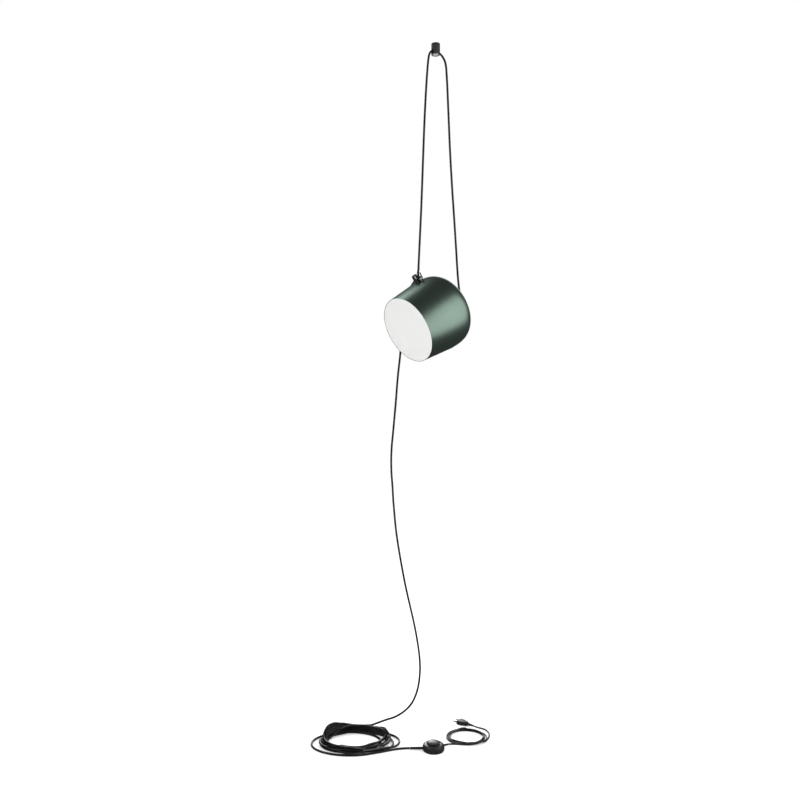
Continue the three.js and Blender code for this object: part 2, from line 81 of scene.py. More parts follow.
def start_material(name, **sockets):
    """A new material, its node tree and its shader with the given sockets set."""
    material = bpy.data.materials.new(name)
    material.use_nodes = True
    tree = material.node_tree
    tree.nodes.clear()
    shader = put(tree, "BsdfPrincipled", {key.replace("_", " "): v for key, v in sockets.items()})
    put(tree, "OutputMaterial", {"Surface": shader.outputs[0]})
    return material, tree, shader


def powder_coat(name, colour, light):
    """Baked polyester powder: 1.5 mm orange peel, 0.5 mm speckle, an even half-matt skin."""
    material, tree, shader = start_material(name, Metallic=0.0, IOR=1.5, Roughness=0.58)
    place = put(tree, "TexCoord").outputs["Object"]
    peel = put(tree, "TexNoise", {"Vector": place, "Scale": 1 / (1.5 * MM), "Detail": 2.0})
    speckle = put(tree, "TexNoise", {"Vector": place, "Scale": 1 / (0.5 * MM), "Detail": 1.0})
    tint = put(tree, "Mix", {0: speckle.outputs[0], 6: linear(colour), 7: linear(light)}, data_type="RGBA")
    gloss = put(tree, "MapRange", {0: peel.outputs[0], 3: 0.52, 4: 0.66})
    bump = put(tree, "Bump", {"Height": peel.outputs[0], "Strength": 0.35, "Distance": 0.12 * MM})
    tree.links.new(tint.outputs[2], shader.inputs["Base Color"])
    tree.links.new(gloss.outputs[0], shader.inputs["Roughness"])
    tree.links.new(bump.outputs[0], shader.inputs["Normal"])
    return material


def spun(outline, steps=64, closed=False):
    """A turned bmesh about Z. Each corner is (radius, height, fillet), in millimetres."""
    bm = bmesh.new()
    corners = [bm.verts.new((radius * MM, 0, height * MM)) for radius, height, _ in outline]
    for a, b in zip(corners, corners[1:]):
        bm.edges.new((a, b))
    if closed:
        bm.edges.new((corners[-1], corners[0]))
    for corner, (_, _, fillet) in zip(corners, outline):
        if fillet:
            bmesh.ops.bevel(bm, geom=[corner], offset=fillet * MM, affect="VERTICES",
                            segments=4, profile=0.5, material=-1)
    bmesh.ops.spin(bm, geom=bm.verts[:] + bm.edges[:], cent=(0, 0, 0), axis=(0, 0, 1),
                   dvec=(0, 0, 0), angle=2 * math.pi, steps=steps, use_merge=True)
    bmesh.ops.remove_doubles(bm, verts=bm.verts, dist=0.001 * MM)
    bmesh.ops.recalc_face_normals(bm, faces=bm.faces)
    return bm


def piece(bm, name, material, body, stands_for=(), place=Matrix(), sharp=35):
    """Finishes a bmesh as a piece that rides on a body, with its place in its mesh."""
    bm.transform(place)
    mesh = bpy.data.meshes.new(name)
    bm.to_mesh(mesh)
    bm.free()
    mesh.materials.append(material)
    mesh.shade_smooth()
    mesh.set_sharp_from_angle(angle=math.radians(sharp))
    made = bpy.data.objects.new(name, mesh)
    bpy.context.scene.collection.objects.link(made)
    if body:
        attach(made, body)
    if stands_for:
        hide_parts(*stands_for)
    return made


def cut(bm, *tools):
    """The bmesh with each tool's solid taken out of it."""
    body = bpy.data.objects.new("blank", bpy.data.meshes.new("blank"))
    bm.to_mesh(body.data)
    bm.free()
    bpy.context.scene.collection.objects.link(body)
    helpers = [body]
    for tool in tools:
        helper = bpy.data.objects.new("tool", bpy.data.meshes.new("tool"))
        tool.to_mesh(helper.data)
        tool.free()
        bpy.context.scene.collection.objects.link(helper)
        helpers.append(helper)
        step = body.modifiers.new("cut", "BOOLEAN")
        step.object = helper
        step.operation = "DIFFERENCE"
        step.solver = "EXACT"
    result = bmesh.new()
    result.from_object(body, bpy.context.evaluated_depsgraph_get())
    for helper in helpers:
        bpy.data.meshes.remove(helper.data)
    bmesh.ops.remove_doubles(result, verts=result.verts, dist=0.001 * MM)
    return result


def moved(bm, matrix):
    """The bmesh after it has been put in its place."""
    bm.transform(matrix)
    return bm


def at(x=0.0, y=0.0, z=0.0):
    """A move, in millimetres."""
    return Matrix.Translation((x * MM, y * MM, z * MM))


def turn(degrees, axis):
    """A turn about an axis through the origin."""
    return Matrix.Rotation(math.radians(degrees), 4, axis)


charcoal_powder = powder_coat("powder_coated_zinc_charcoal", CHARCOAL, CHARCOAL_LIGHT)
piece(spun([(0, 0, 0), (HOOK_RADIUS, 0, 0.3), (HOOK_RADIUS, -FLANGE_THICKNESS, 0.5),
            (SPIGOT_RADIUS, -FLANGE_THICKNESS, 0), (SPIGOT_RADIUS, -7.6, 0), (7.6, -8.2, 0.3),
            (7.6, -10.8, 0.3), (SPIGOT_RADIUS, -11.4, 0), (SPIGOT_RADIUS, SPIGOT_END, 0.6),
            (0, SPIGOT_END, 0)]),
      "ceiling_flange", charcoal_powder, "ceiling_and_floor", ["hook_flange"])

# ---- Ceiling hook: screws ------------------------------------------------
# Small machine screws of zinc-plated steel, turned and then plated: a satin cool grey
# that is faintly mottled by the plating.


def turned_metal(name, colour, dark):
    """Turned metal, bare or plated: satin, with 4 mm mottling and tool marks every 2.5 mm."""
    material, tree, shader = start_material(name, Metallic=1.0, Roughness=0.3)
    place = put(tree, "TexCoord").outputs["Object"]
    mottle = put(tree, "TexNoise", {"Vector": place, "Scale": 1 / (4 * MM), "Detail": 3.0})
    marks = put(tree, "TexWave", {"Vector": place, "Scale": 1 / (8 * MM), "Distortion": 1.5},
                bands_direction="Z")
    tint = put(tree, "Mix", {0: mottle.outputs[0], 6: linear(dark), 7: linear(colour)}, data_type="RGBA")
    gloss = put(tree, "MapRange", {0: mottle.outputs[0], 3: 0.24, 4: 0.4})
    bump = put(tree, "Bump", {"Height": marks.outputs[1], "Strength": 0.15, "Distance": 0.03 * MM})
    tree.links.new(tint.outputs[2], shader.inputs["Base Color"])
    tree.links.new(gloss.outputs[0], shader.inputs["Roughness"])
    tree.links.new(bump.outputs[0], shader.inputs["Normal"])
    return material


def dress(material, *nodes):
    """Gives CAD nodes whose shape is already right their finished material."""
    for node in nodes:
        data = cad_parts[node].data
        data.materials.clear()
        data.materials.append(material)


zinc_steel = turned_metal("zinc_plated_steel", "b9bbbd", "96999c")
dress(zinc_steel, "hook_screw_1", "hook_screw_2", "hook_grub_screw")

# ---- Ceiling hook: turning body ------------------------------------------
# A round zinc body that hangs on the spigot's groove by a grub screw and turns there. The
# cord passes through its flared cross hole, and a satin grey lacquered disc closes it below.
LOOP_TURN = 35.45
HOOK_HEIGHT = 35.0
HOOK_BORE_RADIUS = 4.6
HOOK_BORE_HEIGHT = -26.5
to_loop = turn(LOOP_TURN, "Z")

barrel = spun([(0, -14.6, 0), (9, -14.6, 0), (9, -4.8, 0.3), (HOOK_RADIUS, -4.8, 0.5),
               (HOOK_RADIUS, -HOOK_HEIGHT, 1.0), (10.3, -HOOK_HEIGHT, 0.3), (10.3, -33.4, 0),
               (0, -33.4, 0)], steps=96)
mouths = [moved(spun([(0, -16, 0), (7.6, -16, 0), (7.2, -14.5, 0), (HOOK_BORE_RADIUS, -9, 1.5),
                      (HOOK_BORE_RADIUS, 0.5, 0), (0, 0.5, 0)], steps=48),
                at(z=HOOK_BORE_HEIGHT) @ turn(side, "Y"))
          for side in (90, -90)]
grub_hole = moved(spun([(0, 7, 0), (2.3, 7, 0), (2.3, 15, 0), (0, 15, 0)], steps=24),
                  at(z=-9.5) @ turn(-90, "X"))
piece(cut(barrel, *mouths, grub_hole), "hook_barrel", charcoal_powder, "hook_turn",
      ["hook_body"], place=to_loop)


def satin_lacquer(name, colour, dark):
    """Sprayed metallic lacquer: 0.8 mm flake sparkle under a satin clear coat."""
    material, tree, shader = start_material(name, Metallic=0.25, Roughness=0.45, Coat_Weight=0.2,
                                            Coat_Roughness=0.3)
    place = put(tree, "TexCoord").outputs["Object"]
    flakes = put(tree, "TexVoronoi", {"Vector": place, "Scale": 1 / (0.8 * MM)})
    tint = put(tree, "Mix", {0: flakes.outputs["Distance"], 6: linear(dark), 7: linear(colour)},
               data_type="RGBA")
    bump = put(tree, "Bump", {"Height": flakes.outputs["Distance"], "Strength": 0.1, "Distance": 0.02 * MM})
    tree.links.new(tint.outputs[2], shader.inputs["Base Color"])
    tree.links.new(bump.outputs[0], shader.inputs["Normal"])
    return material


grey_lacquer = satin_lacquer("satin_grey_lacquer", "b9babb", "a2a3a4")
piece(spun([(0, -33.7, 0), (10, -33.7, 0.2), (10, -34.6, 0.35), (0, -34.9, 0)]),
      "hook_cap_disc", grey_lacquer, "hook_turn", ["hook_end_cap"], place=to_loop)

# ---- Lamp cord: the two strands ------------------------------------------
# A round 7 mm cord with a black PVC jacket, extruded over its cores: satin, with faint lines
# along it from the die. One length runs from the clamp up through the hook and down to the head.
CORD_DIAMETER = 7.0
CORD_SPACING = 5.0  # between the drawn points of a cord
FRONT_STRAND = [
    (-2, 0, -26.5), (-14, 0, -26.7), (-20.5, 0, -30.5), (-26, 0, -40), (-29.8, 0, -56),
    (-32.3, 0, -76), (-38.8, 0, -152), (-46.1, 0, -270), (-52.5, 0, -410), (-58.5, 0, -540),
    (-64.5, 0, -645), (-69, 0, -722), (-69.6, 0, -733), (-69.9, -0.4, -741), (-70.2, 0.9, -746.6),
    (-69.4, 3.2, -751.6), (-67.8, 4.7, -754.3), (-67.2, 5.2, -754.9),
]
REAR_STRAND = [
    (2, 0, -26.5), (14, 0, -26.7), (23, 0, -29.5), (32, 0, -37), (38.5, 0, -46), (42.5, 0, -58),
    (46.4, 0, -92), (53.4, 0, -209), (60.4, 0, -335), (69.2, 0, -454), (77.5, 0, -550),
    (85.5, 0, -645), (94.4, 0, -752), (99.5, 0, -790), (101.6, 0, -806), (100.4, 0, -818),
    (95.2, 0, -828), (87, 0, -834.8),
]


def through(points, spacing=CORD_SPACING):
    """A smooth line through the given points, in millimetres, with a point about every spacing."""
    hard = [Vector(p) for p in points]
    hard = [2 * hard[0] - hard[1], *hard, 2 * hard[-1] - hard[-2]]
    line = []
    for before, a, b, after in zip(hard, hard[1:], hard[2:], hard[3:]):
        spans = [max((q - p).length, 0.01) ** 0.5 for p, q in ((before, a), (a, b), (b, after))]
        leave = (a - before) / spans[0] - (b - before) / (spans[0] + spans[1]) + (b - a) / spans[1]
        arrive = (b - a) / spans[1] - (after - a) / (spans[1] + spans[2]) + (after - b) / spans[2]
        steps = max(1, round((b - a).length / spacing))
        for i in range(steps):
            t = i / steps
            line.append((2 * t**3 - 3 * t**2 + 1) * a + (t**3 - 2 * t**2 + t) * spans[1] * leave
                        + (3 * t**2 - 2 * t**3) * b + (t**3 - t**2) * spans[1] * arrive)
    return line + [hard[-2]]


def pvc_jacket(name, colour, light):
    """Soft PVC: 1.2 mm wide die lines along the cord and a slow change of gloss every 40 mm."""
    material, tree, shader = start_material(name, Metallic=0.0, IOR=1.53, Roughness=0.32,
                                            Coat_Weight=0.1, Coat_Roughness=0.2)
    along = put(tree, "Attribute", attribute_name="cord_place").outputs["Vector"]
    drawn_out = put(tree, "Mapping", {"Vector": along, "Scale": (1, 1, 0.02)}).outputs[0]
    lines = put(tree, "TexNoise", {"Vector": drawn_out, "Scale": 1 / (1.2 * MM), "Detail": 1.0})
    slow = put(tree, "TexNoise", {"Vector": along, "Scale": 1 / (40 * MM), "Detail": 2.0})
    tint = put(tree, "Mix", {0: slow.outputs[0], 6: linear(colour), 7: linear(light)}, data_type="RGBA")
    gloss = put(tree, "MapRange", {0: slow.outputs[0], 3: 0.27, 4: 0.38})
    bump = put(tree, "Bump", {"Height": lines.outputs[0], "Strength": 0.25, "Distance": 0.08 * MM})
    tree.links.new(tint.outputs[2], shader.inputs["Base Color"])
    tree.links.new(gloss.outputs[0], shader.inputs["Roughness"])
    tree.links.new(bump.outputs[0], shader.inputs["Normal"])
    return material


def tube(name, line, diameter, material, stands_for):
    """A closed round tube along a line given in millimetres, as a mesh, and its centreline in metres."""
    centres = [Vector(p) * MM for p in line]
    curve = bpy.data.curves.new(name, "CURVE")
    curve.dimensions = "3D"
    curve.bevel_depth = diameter / 2 * MM
    curve.bevel_resolution = 4
    curve.use_fill_caps = True
    spline = curve.splines.new("POLY")
    spline.points.add(len(centres) - 1)
    for point, centre in zip(spline.points, centres):
        point.co = (*centre, 1)
    rough = bpy.data.objects.new(name, curve)
    mesh = bpy.data.meshes.new_from_object(rough)
    bpy.data.objects.remove(rough)
    bm = bmesh.new()
    bm.from_mesh(mesh)
    bmesh.ops.remove_doubles(bm, verts=bm.verts, dist=0.001 * MM)
    bmesh.ops.recalc_face_normals(bm, faces=bm.faces)
    made = piece(bm, name, material, None, stands_for)
    mark_cord(made, centres)
    return made, centres


def mark_cord(made, centres):
    """Writes each point's place across and along its cord, for the jacket's pattern."""
    middle = np.array(centres)
    run = np.concatenate([[0], np.cumsum(np.linalg.norm(np.diff(middle, axis=0), axis=1))])
    points = np.array([v.co for v in made.data.vertices])
    nearest = np.concatenate([np.linalg.norm(block[:, None] - middle[None], axis=2).argmin(1)
                              for block in np.array_split(points, max(1, len(points) // 500))])
    places = points - middle[nearest]
    places[:, 2] += run[nearest]
    store = made.data.attributes.new("cord_place", "FLOAT_VECTOR", "POINT")
    store.data.foreach_set("vector", places.astype(np.float32).ravel())


black_pvc = pvc_jacket("pvc_jacket_black", "0d0d0e", "151516")
both_strands = through(list(reversed(FRONT_STRAND)) + REAR_STRAND)
strands, strands_path = tube("lamp_cord_strands", [to_loop.to_3x3() @ p for p in both_strands],
                             CORD_DIAMETER, black_pvc,
                             ["cord_front_strand", "cord_rear_strand"])
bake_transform(strands)

# ---- Lamp cord: from the clamp down to the floor -------------------------
# The same cord leaves the clamp's slot on the far side, lies over the shade and hangs free.
DROP_UPPER = [
    (-57.7, -34.5, -755.1), (-57.5, -33.7, -755.7), (-57, -30.8, -756.5), (-56.7, -25.6, -756.8),
    (-57.6, -17.6, -757.7), (-60.2, -8.5, -760.6), (-64.8, 1.9, -766.3), (-71.4, 13.3, -774.4),
    (-80, 26.5, -786), (-88.4, 38.9, -799), (-96.4, 50.5, -815.7), (-102.6, 59.4, -835),
    (-107.2, 65.6, -856.5), (-109.7, 69.4, -878.6), (-110.5, 70.8, -900), (-111.3, 71, -925),
    (-112.8, 70.3, -958), (-115.2, 69, -1005), (-123.5, 69, -1083), (-130, 70, -1165),
    (-138, 71, -1255), (-144.6, 72, -1330), (-145, 73, -1395), (-141.2, 75.5, -1449),
    (-138.4, 77, -1500),
]
DROP_PARTING = -1150.0  # height at which the cord that lies on the shade ends and the free one begins
whole_drop = through(DROP_UPPER)
parting = next(i for i, point in enumerate(whole_drop) if point.z < DROP_PARTING)
gripped, gripped_path = tube("lamp_cord_over_shade", whole_drop[:parting + 1], CORD_DIAMETER, black_pvc,
                             ["cord_drop_upper"])
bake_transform(gripped)
drop, drop_path = tube("lamp_cord_drop", whole_drop[parting:], CORD_DIAMETER, black_pvc, [])
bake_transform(drop)

# ---- Lamp cord: the spare length coiled on the floor ---------------------
# The spare cord lies in loose, uneven turns, each resting on the ones below, and leaves the
# heap at floor level towards the foot dimmer.
FLOOR = -2298.0
REST_HEIGHT = CORD_DIAMETER / 2 + 0.3
DROP_LOWER = [
    (-138.3, 77.1, -1500.3), (-128.2, 80.7, -1606), (-100.7, 89.6, -1769.6), (-64.5, 102.4, -1935.5),
    (-51.3, 108.8, -2019), (-47.8, 113, -2070), (-51.5, 117, -2122), (-61, 120.4, -2163),
    (-78, 121.8, -2198), (-104, 121, -2224), (-134, 117.4, -2240), (-163, 112, -2247.3),
]
SWITCH_LEAD = [
    (-181, -22, REST_HEIGHT), (-147, -8, REST_HEIGHT), (-134, -3.2, 3.8), (-120, 0.6, 3.8),
    (-107, 2, 4.4), (-95, 0.9, 5.6), (-89, 0.1, 5.95), (-84.5, 0, 6),
]
# Each turn from the floor upwards: its middle, half width, half depth and skew in degrees.
COIL_TURNS = [
    (-282, 51, 142, 97, 0), (-281, 40.5, 91, 62.5, 4), (-259, 48.5, 132, 84.5, 0), (-267, 54, 95, 64, 6),
    (-246, 56.5, 140, 84.5, 2), (-267, 58, 85, 52, 8), (-264, 55.5, 113, 70.5, 6), (-262, 70, 96, 78, 14),
    (-258, 60, 112, 82, 6),
]
COIL_STEP = 3.0  # degrees
COIL_START = -69.5  # degrees, at the lead to the dimmer
COIL_END = -3186.0  # degrees, where the drop comes down


def coil(turns, start, end):
    """The plan of a coil: ellipses that change smoothly from each turn to the next."""
    count = round(abs(end - start) / COIL_STEP)
    plan = []
    for i in range(count + 1):
        angle = start + (end - start) * i / count
        wound = abs(angle - start) / 360
        low = min(int(wound), len(turns) - 2)
        share = min(1.0, wound - low)
        x, y, wide, deep, skew = (a * (1 - share) + b * share for a, b in zip(turns[low], turns[low + 1]))
        away = Matrix.Rotation(math.radians(skew), 2) @ Vector((wide * math.cos(math.radians(angle)),
                                                                deep * math.sin(math.radians(angle))))
        plan.append((x + away.x, y + away.y))
    return plan


def settle(plan, diameter, rest, sag=0.35, passes=160, skipped=30):
    """Heights of a cord laid down along its plan: on the floor, or over what already lies there.

    A point never rests on the skipped points just before it, which are its own run of cord."""
    plan = np.array(plan)
    apart = np.linalg.norm(plan[:, None] - plan[None], axis=2)
    order = np.arange(len(plan))
    under = (apart < diameter) & (order[None] < order[:, None] - skipped)
    lift = np.where(under, np.sqrt(np.clip(diameter**2 - apart**2, 0, None)), -np.inf)
    heights = np.full(len(plan), rest)
    for _ in range(passes):
        carried = np.maximum(rest, (heights[None] + lift).max(1))
        eased = np.convolve(np.pad(heights, 3, mode="edge"), np.ones(7) / 7, "valid")
        heights = np.maximum(carried, eased - sag)
    return [(x, y, FLOOR + z) for (x, y), z in zip(plan, heights)]


# Seen from the lead backwards, the coil winds clockwise; the drop comes down onto its last turn.
coil_plan = coil(COIL_TURNS, COIL_START, COIL_END)
laid = settle(coil_plan, CORD_DIAMETER, REST_HEIGHT)
on_floor = [(x, y, FLOOR + z) for x, y, z in SWITCH_LEAD]
floor_line = through(DROP_LOWER + laid[-4::-1] + on_floor)
lower, lower_path = tube("lamp_cord_coil", floor_line, CORD_DIAMETER, black_pvc,
                         ["cord_drop_lower", "cord_coil", "cord_switch_lead"])
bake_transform(lower)

# ---- Lamp head: shade ----------------------------------------------------
# A deep aluminium cup, spun to a slight cone that closes in a soft square dome, bead blasted
# and anodised grey-green. The dye sits in a clear oxide, so highlights stay soft and pale.
HEAD_PLACE = (-113.2, 0, -937.8)
HEAD_TILT = 27.24
MOUTH_RADIUS = 109.4
SHADE_RADIUS = 121.5
CONE_LENGTH = 114.7
SHADE_LENGTH = 198.0
DOME_POWER = 3.75
SHADE_WALL = 2.5
REAR_HOLE_RADIUS = 6.3
to_head = to_loop @ at(*HEAD_PLACE) @ turn(90 - HEAD_TILT, "Y")
CLAMP_LEAN = math.degrees(math.atan2(SHADE_RADIUS - MOUTH_RADIUS, CONE_LENGTH))
in_head_clamp = at(-SHADE_RADIUS, 0, CONE_LENGTH) @ turn(-(90 + CLAMP_LEAN), "Y")
to_clamp = to_head @ in_head_clamp


def cup_outline(inset, dome_steps=36):
    """The cup's outline from its mouth to its rear hole, drawn in by inset."""
    points = [(MOUTH_RADIUS - inset, 0.0, 0.0)]
    for i in range(dome_steps + 1):
        angle = math.pi / 2 * i / dome_steps
        radius = (SHADE_RADIUS - inset) * math.cos(angle) ** (2 / DOME_POWER)
        height = (SHADE_LENGTH - CONE_LENGTH - inset) * math.sin(angle) ** (2 / DOME_POWER)
        if radius > REAR_HOLE_RADIUS:
            points.append((radius, CONE_LENGTH + height, 0.0))
    return points + [(REAR_HOLE_RADIUS, SHADE_LENGTH - inset, 0.0)]


def anodised_aluminium(name, colour, light, place):
    """Blasted and dyed aluminium: 0.5 mm grain, 6 mm spinning rings, 60 mm drift of the dye."""
    material, tree, shader = start_material(name, Metallic=1.0, Roughness=0.36)
    world = put(tree, "TexCoord").outputs["Object"]
    turned = put(tree, "Mapping", {"Vector": world, "Location": place.to_translation(),
                                   "Rotation": place.to_euler()}, vector_type="TEXTURE").outputs[0]
    grain = put(tree, "TexNoise", {"Vector": turned, "Scale": 1 / (0.5 * MM), "Detail": 2.0})
    drawn_out = put(tree, "Mapping", {"Vector": turned, "Scale": (0.05, 0.05, 1)}).outputs[0]
    rings = put(tree, "TexNoise", {"Vector": drawn_out, "Scale": 1 / (6 * MM), "Detail": 2.0})
    drift = put(tree, "TexNoise", {"Vector": turned, "Scale": 1 / (60 * MM), "Detail": 1.0})
    tint = put(tree, "Mix", {0: drift.outputs[0], 6: linear(colour), 7: linear(light)}, data_type="RGBA")
    gloss = put(tree, "MapRange", {0: rings.outputs[0], 3: 0.33, 4: 0.41})
    bump = put(tree, "Bump", {"Height": grain.outputs[0], "Strength": 0.08, "Distance": 0.05 * MM})
    tree.links.new(tint.outputs[2], shader.inputs["Base Color"])
    tree.links.new(gloss.outputs[0], shader.inputs["Roughness"])
    tree.links.new(bump.outputs[0], shader.inputs["Normal"])
    return material


green_anodised = anodised_aluminium("anodised_aluminium_grey_green", "8ba295", "93aa9d", to_head)
LIP_WALL = 0.7
LIP_DEPTH = 3.7
lip_slope = (SHADE_RADIUS - MOUTH_RADIUS) / CONE_LENGTH * LIP_DEPTH
rim = [(MOUTH_RADIUS - SHADE_WALL + lip_slope, LIP_DEPTH, 0.2),
       (MOUTH_RADIUS - LIP_WALL + lip_slope, LIP_DEPTH, 0.0), (MOUTH_RADIUS - LIP_WALL, 0.0, 0.2)]
shade_outline = [(MOUTH_RADIUS, 0.0, 0.3), *cup_outline(0)[1:],
                 *reversed(cup_outline(SHADE_WALL)[1:]), *rim]
shade_blank = spun(shade_outline, steps=160, closed=True)
screw_hole = moved(spun([(0, -12, 0), (3.1, -12, 0), (3.1, 8, 0), (0, 8, 0)], steps=24), in_head_clamp)
piece(cut(shade_blank, screw_hole), "shade_cup", green_anodised, "lamp_head",
      ["shade"], place=to_head, sharp=40)

# ---- Lamp head: diffuser -------------------------------------------------
# A flat disc of opal acrylic, turned with a soft edge, that drops into the thin lip of the mouth
# against a ring. Light scatters inside it, so it looks evenly white right up to its edge.
DIFFUSER_RADIUS = MOUTH_RADIUS - LIP_WALL - 0.4


def opal_acrylic(name):
    """Cast opal sheet: scattering white with a satin face and barely visible 30 mm clouding."""
    material, tree, shader = start_material(name, IOR=1.49, Roughness=0.42, Subsurface_Weight=0.35,
                                            Subsurface_Scale=0.006)
    shader.inputs["Subsurface Radius"].default_value = (1.0, 0.95, 0.9)
    place = put(tree, "TexCoord").outputs["Object"]
    clouds = put(tree, "TexNoise", {"Vector": place, "Scale": 1 / (30 * MM), "Detail": 2.0})
    grain = put(tree, "TexNoise", {"Vector": place, "Scale": 1 / (0.6 * MM), "Detail": 1.0})
    tint = put(tree, "Mix", {0: clouds.outputs[0], 6: linear("cfcfce"), 7: linear("d4d4d3")},
               data_type="RGBA")
    bump = put(tree, "Bump", {"Height": grain.outputs[0], "Strength": 0.05, "Distance": 0.03 * MM})
    tree.links.new(tint.outputs[2], shader.inputs["Base Color"])
    tree.links.new(bump.outputs[0], shader.inputs["Normal"])
    return material


opal = opal_acrylic("opal_acrylic_cast")
piece(spun([(0, 0.2, 0), (DIFFUSER_RADIUS * 0.5, 0.2, 0), (DIFFUSER_RADIUS, 0.2, 1.1),
            (DIFFUSER_RADIUS, 3.4, 0.3), (0, 3.4, 0)], steps=160),
      "diffuser_disc", opal, "lamp_head", ["diffuser"], place=to_head)

# ---- Lamp head: optics and light source ----------------------------------
# Behind the diffuser sit a moulded white clamp ring and a white polycarbonate reflector,
# then a round LED module under yellow phosphor silicone on an aluminium-cored board.


def moulded_plastic(name, colour, light, roughness, spark=0.7):
    """Injection-moulded ABS or PC with a spark-eroded tool face: pits of spark millimetres."""
    material, tree, shader = start_material(name, IOR=1.54, Roughness=roughness)
    place = put(tree, "TexCoord").outputs["Object"]
    pits = put(tree, "TexNoise", {"Vector": place, "Scale": 1 / (spark * MM), "Detail": 3.0})
    flow = put(tree, "TexNoise", {"Vector": place, "Scale": 1 / (18 * MM), "Detail": 2.0})
    tint = put(tree, "Mix", {0: flow.outputs[0], 6: linear(colour), 7: linear(light)}, data_type="RGBA")
    gloss = put(tree, "MapRange", {0: pits.outputs[0], 3: roughness - 0.08, 4: roughness + 0.08})
    bump = put(tree, "Bump", {"Height": pits.outputs[0], "Strength": 0.2, "Distance": 0.08 * MM})
    tree.links.new(tint.outputs[2], shader.inputs["Base Color"])
    tree.links.new(gloss.outputs[0], shader.inputs["Roughness"])
    tree.links.new(bump.outputs[0], shader.inputs["Normal"])
    return material


def phosphor_silicone(name):
    """Yellow phosphor in clear silicone over a 2 mm grid of LED dies."""
    material, tree, shader = start_material(name, IOR=1.41, Roughness=0.25, Coat_Weight=0.5)
    place = put(tree, "TexCoord").outputs["Object"]
    dies = put(tree, "TexVoronoi", {"Vector": place, "Scale": 1 / (2 * MM), "Randomness": 0.0},
               distance="CHEBYCHEV")
    tint = put(tree, "Mix", {0: dies.outputs["Distance"], 6: linear("c9a93a"), 7: linear("ecd876")},
               data_type="RGBA")
    bump = put(tree, "Bump", {"Height": dies.outputs["Distance"], "Strength": 0.2, "Distance": 0.1 * MM})
    tree.links.new(tint.outputs[2], shader.inputs["Base Color"])
    tree.links.new(bump.outputs[0], shader.inputs["Normal"])
    return material


white_moulding = moulded_plastic("moulded_polycarbonate_white", "e6e6e3", "eeeeeb", 0.45)
dress(white_moulding, "diffuser_ring", "reflector", "terminal_block")
dress(phosphor_silicone("led_phosphor_silicone"), "led_module")

# ---- Lamp head: heat sink and frame --------------------------------------
# A die-cast aluminium heat sink with radial fins carries the board, and a plated steel ring
# screws it into the shade.


def cast_aluminium(name):
    """Die casting left bare: 3 mm flow marks, 0.6 mm sand-like grain, dull grey metal."""
    material, tree, shader = start_material(name, Metallic=1.0, Roughness=0.45)
    place = put(tree, "TexCoord").outputs["Object"]
    flow = put(tree, "TexNoise", {"Vector": place, "Scale": 1 / (3 * MM), "Detail": 3.0,
                                  "Distortion": 1.0})
    grain = put(tree, "TexNoise", {"Vector": place, "Scale": 1 / (0.6 * MM), "Detail": 2.0})
    tint = put(tree, "Mix", {0: flow.outputs[0], 6: linear("a9acae"), 7: linear("c9cccd")},
               data_type="RGBA")
    bump = put(tree, "Bump", {"Height": grain.outputs[0], "Strength": 0.3, "Distance": 0.1 * MM})
    tree.links.new(tint.outputs[2], shader.inputs["Base Color"])
    tree.links.new(bump.outputs[0], shader.inputs["Normal"])
    return material


dress(cast_aluminium("die_cast_aluminium"), "heat_sink", "led_board")
dress(zinc_steel, "support_ring", "frame_screw_1", "frame_screw_2", "frame_screw_3", "driver_tray")

# ---- Lamp head: driver and wiring ----------------------------------------
# The LED driver is a green glass-epoxy board in a black two-part ABS box on a steel tray,
# wired to a white terminal block. The cord's own end runs from there out through the gland.


def solder_mask(name):
    """Green lacquered glass epoxy, with 1.5 mm copper tracks showing as a lighter green."""
    material, tree, shader = start_material(name, IOR=1.5, Roughness=0.3, Coat_Weight=0.4)
    place = put(tree, "TexCoord").outputs["Object"]
    tracks = put(tree, "TexBrick", {"Vector": place, "Scale": 1 / (25 * MM), "Color1": linear("2f6b45"),
                                    "Color2": linear("2a5f3e"), "Mortar": linear("4f8f5f"),
                                    "Mortar Size": 0.03})
    bump = put(tree, "Bump", {"Height": tracks.outputs[1], "Strength": 0.2, "Distance": 0.05 * MM})
    tree.links.new(tracks.outputs[0], shader.inputs["Base Color"])
    tree.links.new(bump.outputs[0], shader.inputs["Normal"])
    return material


black_moulding = moulded_plastic("moulded_abs_black", "19191b", "212123", 0.4)
grey_moulding = moulded_plastic("moulded_nylon_grey", "505355", "5d6062", 0.5)
board_green = solder_mask("circuit_board_green")
dress(black_moulding, "driver_case", "driver_lid")
dress(board_green, "driver_board")
dress(grey_moulding, "cord_stop")
dress(black_pvc, "inner_cord")

# ---- Lamp head: rear gland and boot --------------------------------------
# A turned brass gland, plated in black nickel, grips the cord where it enters the dome. A brass
# nut inside draws it tight, and a soft rubber boot keeps the cord from kinking there.
GLAND_BORE = CORD_DIAMETER / 2 + 0.4


def blackened_metal(name, colour, light, roughness):
    """Black-nickel plating on turned brass: a dark mirror, with 0.8 mm lathe lines just in view."""
    material, tree, shader = start_material(name, Metallic=1.0, Roughness=roughness, Coat_Weight=0.4,
                                            Coat_Roughness=0.05)
    place = put(tree, "TexCoord").outputs["Object"]
    lines = put(tree, "TexNoise", {"Vector": place, "Scale": 1 / (0.8 * MM), "Detail": 2.0})
    tint = put(tree, "Mix", {0: lines.outputs[0], 6: linear(colour), 7: linear(light)}, data_type="RGBA")
    bump = put(tree, "Bump", {"Height": lines.outputs[0], "Strength": 0.06, "Distance": 0.04 * MM})
    tree.links.new(tint.outputs[2], shader.inputs["Base Color"])
    tree.links.new(bump.outputs[0], shader.inputs["Normal"])
    return material


